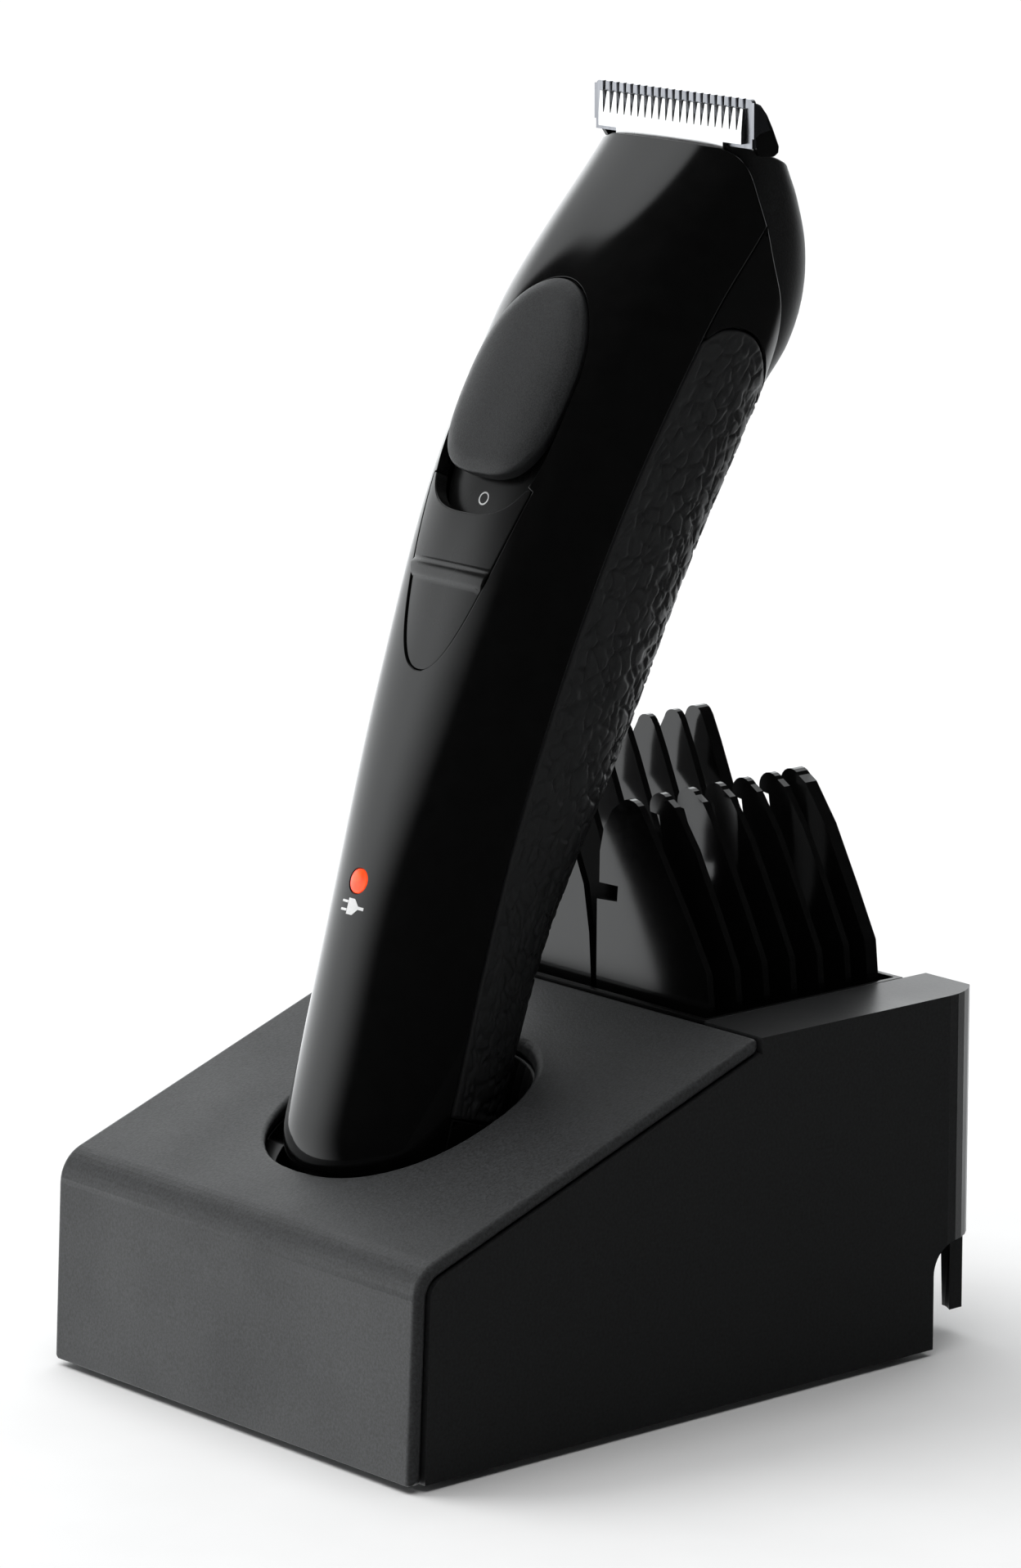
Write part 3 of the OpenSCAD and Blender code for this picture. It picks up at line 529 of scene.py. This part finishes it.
def patch(name, skin, outer, holes, material, body, step=1.2, thick=WALL, edge=0.25,
          hole_edge=None, lift=None):
    """Closed shell over a flat-map outline, with rounded rims. lift(uv) gives its height in mm."""
    loops = [(outer, edge)] + [(h[::-1], hole_edge or edge) for h in holes]
    rim, rim_drop, rim_tilt, chains = rim_rings(loops)
    inner = inner_points(outer, holes, loops, step)
    tris = triangles(rim, [rings[-1] for rings in chains], inner)
    uv = np.vstack([rim, inner])
    drop = np.concatenate([rim_drop, np.zeros(len(inner))])
    tilt = np.vstack([rim_tilt, np.zeros((len(inner), 2))])
    high = np.zeros(len(uv)) if lift is None else lift(uv)
    top, normal = skin.at(uv, drop - high)
    ahead = unit(skin.at(uv + [NUDGE, 0], drop - high)[0] - top, 1e-12)
    above = unit(skin.at(uv + [0, NUDGE], drop - high)[0] - top, 1e-12)
    lean = ahead * tilt[:, 0:1] + above * tilt[:, 1:2]
    shown = normal * np.sqrt(np.clip(1 - (lean ** 2).sum(1), 0.0, 1))[:, None] + lean
    if lift is not None:
        du = (lift(uv + [REACH, 0]) - lift(uv - [REACH, 0])) / (2 * REACH)
        dv = (lift(uv + [0, REACH]) - lift(uv - [0, REACH])) / (2 * REACH)
        shown = shown - ahead * du[:, None] - above * dv[:, None]
    shown = unit(shown)
    bottom = skin.at(uv, thick)[0]
    a, b, c = top[tris[:, 0]], top[tris[:, 1]], top[tris[:, 2]]
    flipped = (np.cross(b - a, c - a) * normal[tris[:, 0]]).sum(1) < 0
    tris[flipped] = tris[flipped][:, ::-1]
    total = len(uv)
    faces = shell_faces(tris, chains, total)
    pointing = {FACE: lambda v: shown[v], RIM: lambda v: sideways(lean[v % total]),
                UNDERSIDE: lambda v: -normal[v % total]}
    corner = [pointing[part](v) for part, face in faces for v in face]
    return make(name, np.vstack([top, bottom]), [face for _, face in faces], material, body, corner)


def sideways(lean):
    """Unit vector of a rim's lean."""
    size = np.linalg.norm(lean)
    return lean / size if size > 1e-9 else np.array([0.0, 0, 1])


body_skin = Skin(BODY, END_R - END_R * math.pi / 2, HEAD_TOP + 1, END_R)
cap_skin = Skin(CAP, 125.2, 158)


# ---- outlines on the trimmer ----
seam = body_skin.from_side(even(spline(SEAM, 0.5), 1.2))
front_edge = body_skin.from_side(even(spline(FRONT_EDGE, 0.4), 0.8))
rear_edge = body_skin.from_side(even(spline(REAR_EDGE, 0.4), 0.8))
grip_top = body_skin.from_side(even(spline(GRIP_TOP, 0.4), 0.8))
BOTTOM = body_skin.low + 0.4


def flip(curve):
    """The curve mirrored to the left of the front's middle."""
    c = curve.copy()
    c[:, 0] *= -1
    return c[::-1]


def pad_outline(grow, low, step):
    """Rounded pad shape; low stretches its lower half downwards, as the slot for the pad's travel."""
    q = np.linspace(0, 2 * math.pi, 240, endpoint=False)
    n = np.where(np.sin(q) > 0, 2.0, 3.0)
    x = (PAD_HALF + grow) * power(np.cos(q), 2 / n)
    w = PAD_W + (PAD_LEN + grow) * power(np.sin(q), 2 / n) - np.where(np.sin(q) <= 0, low, 0)
    return even(body_skin.from_front(np.stack([x, w], 1)), step, True)


def panel_half(w):
    """Half width of the panel at a height."""
    return PANEL_HALF * (max(w - PANEL_LOW, 0) / (PANEL_TOP - PANEL_LOW)) ** 0.42


def panel_heights():
    """Heights up the panel, closer together at its pointed foot."""
    return PANEL_LOW + (PANEL_TOP - PANEL_LOW) * np.linspace(0, 1, 60) ** 1.8


def panel_outline():
    """Tongue-shaped panel under the pad, cut off above by the pad's pocket."""
    right = [(panel_half(w), w) for w in panel_heights()]
    curve = right + pad_edge(PANEL_TOP) + [(-x, w) for x, w in right[::-1]]
    return joined(even(body_skin.from_front(curve), 0.7, True))


def pad_edge(top):
    """Lower arc of the pocket, from right to left, below a height."""
    q = np.linspace(0, -math.pi, 80)
    x = (PAD_HALF + POCKET_GAP) * power(np.cos(q), 2 / 3)
    w = PAD_W + (PAD_LEN + POCKET_GAP) * power(np.sin(q), 2 / 3) - TRAVEL
    return [(a, b) for a, b in zip(x, w) if b < top and abs(a) < panel_half(b) + 0.2]


def circle_outline(w, r):
    """Circle in the middle of the front, at a height."""
    q = np.linspace(0, 2 * math.pi, 40, endpoint=False)
    return body_skin.from_front(np.stack([r * np.cos(q), w + r * np.sin(q)], 1))


# ---- trimmer housings ----
def front_housing():
    """Front shell from seam to seam, with the holes for the switch area and the lamp."""
    side = np.vstack([seam[seam[:, 1] > BOTTOM], front_edge[1:]])
    side = side - [SEAM_GAP, 0]
    top_w = side[-1, 1]
    across = np.stack([np.linspace(side[-1, 0], -side[-1, 0], 44), np.full(44, top_w)], 1)
    low = np.stack([np.linspace(-side[0, 0], side[0, 0], 30), np.full(30, BOTTOM)], 1)
    outer = joined(low, side[1:], across[1:], flip(side)[1:-1])
    cut = joined(pocket_and_panel())
    lamp_hole = joined(circle_outline(LAMP_W, LAMP_R + 0.08))
    made = patch("front_shell", body_skin, outer, [cut, lamp_hole], "gloss", "trimmer",
                 step=1.3, edge=0.3, hole_edge=0.14)
    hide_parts("front_housing")


def pocket_and_panel():
    """One hole for the pad's pocket and the panel below it."""
    right = [(panel_half(w) + PANEL_GAP, w - (PANEL_GAP if w < PANEL_LOW + 0.1 else 0))
             for w in panel_heights()]
    q = np.linspace(-0.5 * math.pi, 0.5 * math.pi, 160)
    n = np.where(np.sin(q) > 0, 2.0, 3.0)
    x = (PAD_HALF + POCKET_GAP) * power(np.cos(q), 2 / n)
    w = PAD_W + (PAD_LEN + POCKET_GAP) * power(np.sin(q), 2 / n) - np.where(np.sin(q) <= 0, TRAVEL, 0)
    pocket = [(a, b) for a, b in zip(x, w) if b > PANEL_TOP + 0.1]
    curve = right + pocket
    curve = curve + [(-a, b) for a, b in curve[::-1]]
    return even(body_skin.from_front(curve), 0.7, True)


def ridge(uv):
    """Raised bar across the panel, with a step below it."""
    v = uv[:, 1]
    bar = np.clip(1 - np.abs((v - RIDGE_W) / RIDGE_HALF), 0, 1)
    step_down = 1 / (1 + np.exp(-(v - RIDGE_W) * 3))
    return RIDGE_HIGH * np.sqrt(np.clip(2 * bar - bar * bar, 0, 1)) - RIDGE_STEP * (1 - step_down)


def switch_area():
    """Panel, the pocket's floor with its off mark, and the thumb slide."""
    made = patch("switch_plate", body_skin, panel_outline(), [], "panel", "trimmer",
                 step=0.7, edge=0.22, lift=ridge)
    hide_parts("switch_panel")
    floor = pad_outline(1.0, TRAVEL, 0.9)
    patch("switch_recess", body_skin, joined(floor), [], "pocket", "trimmer", step=1.6,
          thick=FLOOR_DEPTH + 1, edge=0.2, lift=lambda uv: np.full(len(uv), -FLOOR_DEPTH))
    ring_out, ring_in = (joined(circle_outline(OFF_W, r)) for r in (OFF_R, OFF_HOLE))
    patch("off_mark", body_skin, ring_out, [ring_in], "print", "trimmer", step=2,
          thick=FLOOR_DEPTH + 0.02, edge=0.02, lift=lambda uv: np.full(len(uv), PRINT_PROUD - FLOOR_DEPTH))
    outline = joined(pad_outline(0, 0, 0.8))

    def crown(uv):
        d = near(uv, [outline])
        return PAD_PROUD - 0.5 * np.clip(1 - d / 2.4, 0, 1) ** 2

    made = patch("thumb_slide", body_skin, outline, [], "pad", "switch", step=0.9,
                 thick=1.6, edge=0.45, lift=crown)
    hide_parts("switch_pad")


def grip():
    """Soft grip with a cracked leather grain in its surface."""
    rows, columns = 400, 320
    proud, thick = 0.02, 1.2
    grain_rim, round_rim, round_drop = 1.6, 0.5, 0.45
    right = seam[(seam[:, 1] >= GRIP_LOW) & (seam[:, 1] <= GRIP_CORNER + 0.2)]

    def edge_u(v):
        return np.interp(v, right[:, 1], right[:, 0]) + SEAM_GAP

    half = body_skin.half_way
    top_u, top_w = grip_top[:, 0], grip_top[:, 1]
    share = np.clip((top_u - edge_u(top_w)) / (2 * (half(top_w) - edge_u(top_w))), 0, 0.5)
    around = np.linspace(0, 1, columns)
    top_v = np.interp(np.minimum(around, 1 - around), share, top_w - SEAM_GAP)
    v = GRIP_LOW + np.linspace(0, 1, rows)[:, None] * (top_v - GRIP_LOW)[None]
    u = edge_u(v) + around[None] * 2 * (half(v) - edge_u(v))
    uv = np.stack([u.ravel(), v.ravel()], 1)
    rim = np.minimum.reduce([u - edge_u(v), 2 * half(v) - edge_u(v) - u, v - GRIP_LOW, top_v[None] - v])
    rim = np.clip(rim.ravel(), 0, None)
    height = np.array([leather(a, b) for a, b in uv]) * np.clip(rim / grain_rim, 0, 1)
    arc = np.clip(1 - rim / round_rim, 0, 1)
    round_off = round_drop * (1 - np.sqrt(np.clip(1 - arc ** 2, 0, 1)))
    top_p = body_skin.at(uv, -height + round_off - proud)[0]
    low_p = body_skin.at(uv, thick)[0]
    n = rows * columns
    faces = []
    for i in range(rows - 1):
        for j in range(columns - 1):
            a = i * columns + j
            faces.append((a, a + 1, a + columns + 1, a + columns))
            faces.append((n + a, n + a + columns, n + a + columns + 1, n + a + 1))
    border = (list(range(columns)) + [i * columns + columns - 1 for i in range(1, rows)]
              + [(rows - 1) * columns + j for j in range(columns - 2, -1, -1)]
              + [i * columns for i in range(rows - 2, 0, -1)])
    for a, b in zip(border, border[1:] + border[:1]):
        faces.append((b, a, n + a, n + b))
    made = make("leather_grip", np.vstack([top_p, low_p]), faces, "grip", "trimmer")
    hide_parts("grip")


def crack_at(u, v, cell, width, seed):
    """1 in the middle of a crack, 0 outside it; cells are a little longer along the trimmer."""
    wx = noise.noise(Vector((u * 0.8 / cell, v * 0.8 / cell, seed + 3.1)))
    wy = noise.noise(Vector((u * 0.8 / cell, v * 0.8 / cell, seed + 9.7)))
    near_d = noise.voronoi(Vector((u / cell + 0.36 * wx, v / (1.25 * cell) + 0.36 * wy, seed + 0.5)))[0]
    crack = max(0.0, 1 - (near_d[1] - near_d[0]) / width)
    return crack * crack * (3 - 2 * crack)


def leather(u, v):
    """Height of the grain in mm: flat islands parted by broken, wandering cracks."""
    broken = min(1.0, max(0.0, 0.8 + 1.6 * noise.noise(Vector((u * 0.42, v * 0.42, 21.0)))))
    fine = min(1.0, max(0.0, 0.25 + 1.8 * noise.noise(Vector((u * 0.3, v * 0.3, 33.0)))))
    swell = 0.035 * noise.noise(Vector((u * 0.9, v * 0.9, 40.0)))
    return (swell - 0.34 * crack_at(u, v, 2.3, 0.26, 0.0) * broken
            - 0.20 * crack_at(u, v, 1.35, 0.3, 50.0) * fine)


def rear_housing():
    """Band above the grip, from seam to seam round the back, and the foot below the grip."""
    side = seam[seam[:, 1] > GRIP_CORNER] + [SEAM_GAP, 0]
    low = grip_top[1:] + [0, SEAM_GAP]
    right = np.vstack([side[::-1], low])
    left = body_skin.mirror(right)
    top_right = rear_edge[1:]
    top_left = body_skin.mirror(top_right)
    outer = joined(even(np.vstack([right, left, top_left, top_right[::-1]]), 0.8, True))
    made = patch("head_side", body_skin, outer, [], "side", "trimmer", step=1.2,
                 thick=WALL, edge=0.3)
    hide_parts("rear_housing")
    foot_side = seam[(seam[:, 1] > BOTTOM) & (seam[:, 1] < GRIP_LOW - 0.1)] + [SEAM_GAP, 0]
    foot_left = body_skin.mirror(foot_side)
    low_v, top_v = foot_side[0, 1], GRIP_LOW - SEAM_GAP
    bottom = np.stack([np.linspace(foot_left[-1, 0], foot_side[0, 0], 30), np.full(30, low_v)], 1)
    across_right = np.interp(top_v, seam[:, 1], seam[:, 0]) + SEAM_GAP
    across_left = 2 * body_skin.half_way(top_v) - across_right
    top = np.stack([np.linspace(across_right, across_left, 44), np.full(44, top_v)], 1)
    outer = joined(foot_side, top, foot_left, bottom[1:-1])
    patch("foot_shell", body_skin, outer, [], "side", "trimmer", step=1.3, edge=0.25)


def head_cap():
    """Cap over the back of the head, open at the top for the blade block."""
    edge = cap_skin.from_side(even(spline(CAP_EDGE, 0.4), 0.9) + [CAP_LAP, 0])
    left = cap_skin.mirror(edge)
    low_v, top_v = edge[-1, 1] - 0.6, edge[0, 1]
    low_u, top_u = edge[-1, 0] + 1, edge[0, 0]
    low_far, top_far = 2 * cap_skin.half_way(low_v) - low_u, 2 * cap_skin.half_way(top_v) - top_u
    low = np.stack([np.linspace(low_u, low_far, 50), np.full(50, low_v)], 1)
    top = np.stack([np.linspace(top_far, top_u, 50), np.full(50, top_v)], 1)
    outer = joined(even(np.vstack([edge, low, left, top]), 0.8, True))
    made = patch("cap_shell", cap_skin, outer, [], "cap", "trimmer", step=1.1, thick=1.5,
                 edge=0.5)
    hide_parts("head_cap")


def lamp():
    """Clear red lens with a slightly domed front."""
    outline = joined(circle_outline(LAMP_W, LAMP_R))

    def dome(uv):
        d = near(uv, [outline])
        return 0.25 * (1 - (1 - np.clip(d / LAMP_R, 0, 1)) ** 2) - 0.05

    made = patch("lamp_window", body_skin, outline, [], "lamp", "trimmer", step=0.35,
                 thick=2.4, edge=0.12, lift=dome)
    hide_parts("lamp_lens")


def plug_mark():
    """Generic plug sign under the lamp: a rounded body, two prongs and a lead."""
    shapes = [
        [(-0.9, -1.15), (0.35, -1.15), (0.8, -0.7), (1.25, -0.22), (2.3, -0.22), (2.3, 0.22), (1.25, 0.22),
         (0.8, 0.7), (0.35, 1.15), (-0.9, 1.15)],
        [(-2.3, 0.42), (-0.98, 0.42), (-0.98, 0.76), (-2.3, 0.76)],
        [(-2.3, -0.76), (-0.98, -0.76), (-0.98, -0.42), (-2.3, -0.42)]]
    for i, shape in enumerate(shapes):
        curve = [(x, PLUG_W + w) for x, w in shape]
        loop = joined(even(body_skin.from_front(even(curve, 0.12, True)), 0.15, True))
        patch(f"plug_mark_{i + 1}", body_skin, loop, [], "print", "trimmer", step=0.5,
              thick=0.02, edge=0.012, lift=lambda uv: np.full(len(uv), PRINT_PROUD))


# ---- the CAD nodes that stay: material and width of their soft edges in mm ----
CAD_LOOKS = {
    "stand_housing": ("stand", 0.9), "stand_cover": ("cover", 0.9), "stand_base": ("inner", 0.3),
    "stand_feet": ("rubber", 0.25), "stand_screws": ("steel", 0), "socket_cup": ("inner", 0.3),
    "comb_tray": ("inner", 0.3), "contact_block": ("inner", 0.2), "contact_pins": ("gold", 0.2),
    "contact_springs": ("steel", 0), "charge_board": ("board", 0), "power_inlet": ("inner", 0.25),
    "switch_stem": ("inner", 0), "slide_switch": ("inner", 0), "lamp_led": ("lamp", 0),
    "charge_terminals": ("gold", 0.1), "battery_cell": ("cell", 0.4), "battery_tabs": ("steel", 0),
    "circuit_board": ("board", 0), "inner_frame": ("white", 0.2), "motor_can": ("steel", 0.3),
    "motor_end_cap": ("inner", 0.2), "motor_bush": ("brass", 0.1), "motor_shaft": ("steel", 0.1),
    "motor_armature": ("copper", 0.3), "drive_cam": ("white", 0.15), "motor_mount": ("inner", 0.3),
    "housing_screws": ("steel", 0), "blade_holder": ("comb", 0.25), "fixed_blade": ("guard", 0.08),
    "moving_blade": ("blade", 0.06), "drive_block": ("white", 0.2), "blade_spring": ("steel", 0),
    "comb_short": ("comb", 0.22), "comb_long": ("comb", 0.22)}


def dress_cad():
    """Materials and rounded edges of the CAD nodes that stay in sight."""
    for name, (material, width) in CAD_LOOKS.items():
        piece = frame["nodes"][name]
        piece.data.materials.clear()
        piece.data.materials.append(MAT[material])
        for polygon in piece.data.polygons:
            polygon.material_index = 0
        if width:
            weld = piece.modifiers.new("weld", "WELD")
            weld.merge_threshold = 0.00002
            bevel = piece.modifiers.new("edges", "BEVEL")
            bevel.width = width * MM
            bevel.segments = 3
            bevel.limit_method = "ANGLE"
            bevel.angle_limit = math.radians(35)
            bevel.harden_normals = True


# ---- floor, light and camera ----
def studio():
    """Plain pale floor, the sky and two suns."""
    corners = ((-1, -1), (1, -1), (1, 1), (-1, 1))
    mesh = bpy.data.meshes.new("floor")
    mesh.from_pydata([(FLOOR_HALF * x, FLOOR_HALF * y, 0) for x, y in corners], [], [(0, 1, 2, 3)])
    floor = bpy.data.objects.new("floor", mesh)
    bpy.context.scene.collection.objects.link(floor)
    floor.location.z = CAD_BOX[0].z - FLOOR_DROP
    mesh.materials.append(finish("floor_pale", grey(0.8), grey(0.82), (0.85, 0.9), 40, level=0.0))
    floor.visible_glossy = False
    sky()
    sun("key", KEY_AT, KEY_POWER, KEY_ANGLE)
    sun("floor_fill", FILL_AT, FILL_POWER, FILL_ANGLE)


def heading(azimuth, elevation):
    """Unit vector of a direction in degrees; azimuth 0 is the front."""
    a, e = math.radians(azimuth), math.radians(elevation)
    return Vector((math.sin(a) * math.cos(e), -math.cos(a) * math.cos(e), math.sin(e)))


def eased(tree, source, output, start, full, power=1.0):
    """Smooth rise from 0 to power as the source goes from start to full."""
    rise = add(tree, "ShaderNodeMapRange", interpolation_type="SMOOTHSTEP")
    falls = start > full
    for socket, value in (("From Min", min(start, full)), ("From Max", max(start, full)),
                          ("To Min", power if falls else 0.0), ("To Max", 0.0 if falls else power)):
        rise.inputs[socket].default_value = value
    link(tree, source, output, rise, "Value")
    return rise


def toward(tree, where, azimuth, elevation):
    """Cosine of the angle between the sky's direction and a heading."""
    dot = add(tree, "ShaderNodeVectorMath", operation="DOT_PRODUCT")
    dot.inputs[1].default_value = heading(azimuth, elevation)
    link(tree, where, "Generated", dot, 0)
    return dot


def sky():
    """Dark studio with a low light, a softbox and a pale table, as a function of direction."""
    world = bpy.data.worlds.new("studio")
    bpy.context.scene.world = world
    world.use_nodes = True
    tree = world.node_tree
    where = add(tree, "ShaderNodeTexCoord")
    low = eased(tree, toward(tree, where, *LOW_AT), "Value", *LOW_SIDE, LOW_POWER)
    split = add(tree, "ShaderNodeSeparateXYZ")
    link(tree, where, "Generated", split, 0)
    height = eased(tree, split, "Z", *LOW_HEIGHT)
    high = eased(tree, toward(tree, where, *HIGH_AT), "Value", *HIGH_EDGE, HIGH_POWER)
    back = eased(tree, toward(tree, where, *BACK_AT), "Value", *BACK_EDGE, BACK_POWER)
    both = sums(tree, "MULTIPLY", (low, "Result"), (height, "Result"))
    behind = sums(tree, "ADD", (high, "Result"), (back, "Result"))
    total = sums(tree, "ADD", (both, "Value"), (behind, "Value"))
    lifted = sums(tree, "ADD", (total, "Value"))
    lifted.inputs[1].default_value = BASE_GLOW
    link(tree, lifted, "Value", tree.nodes["Background"], "Strength")
    tree.nodes["Background"].inputs["Color"].default_value = SKY_TINT


def sums(tree, operation, *sources):
    """Math node over the sources, each a node and its output's name."""
    made = add(tree, "ShaderNodeMath", operation=operation)
    for i, (node, output) in enumerate(sources):
        link(tree, node, output, made, i)
    return made


def sun(name, came_from, power, angle):
    """Soft sun that doesn't show in glossy surfaces."""
    data = bpy.data.lights.new(name, "SUN")
    data.energy = power
    data.angle = math.radians(angle)
    made = bpy.data.objects.new(name, data)
    bpy.context.scene.collection.objects.link(made)
    made.rotation_euler = heading(*came_from).to_track_quat("Z", "Y").to_euler()
    made.visible_glossy = False


def camera():
    """At the photo's viewing angle; the aim is 45 % of the way up the object."""
    aim = Vector((0, AIM_Y, AIM_SHARE * (CAD_BOX[1].z - CAD_BOX[0].z)))
    back = heading(*VIEW_AT)
    data = bpy.data.cameras.new("camera")
    data.lens = LENS
    data.sensor_width = 36
    data.shift_x = SHIFT_X
    data.shift_y = SHIFT_Y
    made = bpy.data.objects.new("camera", data)
    bpy.context.scene.collection.objects.link(made)
    made.location = aim + back * VIEW_FROM
    made.rotation_euler = (-back).to_track_quat("-Z", "Y").to_euler()
    bpy.context.scene.camera = made


camera()
studio()
dress_cad()
front_housing()
switch_area()
grip()
rear_housing()
head_cap()
lamp()
plug_mark()
bpy.context.scene.view_settings.view_transform = "Standard"
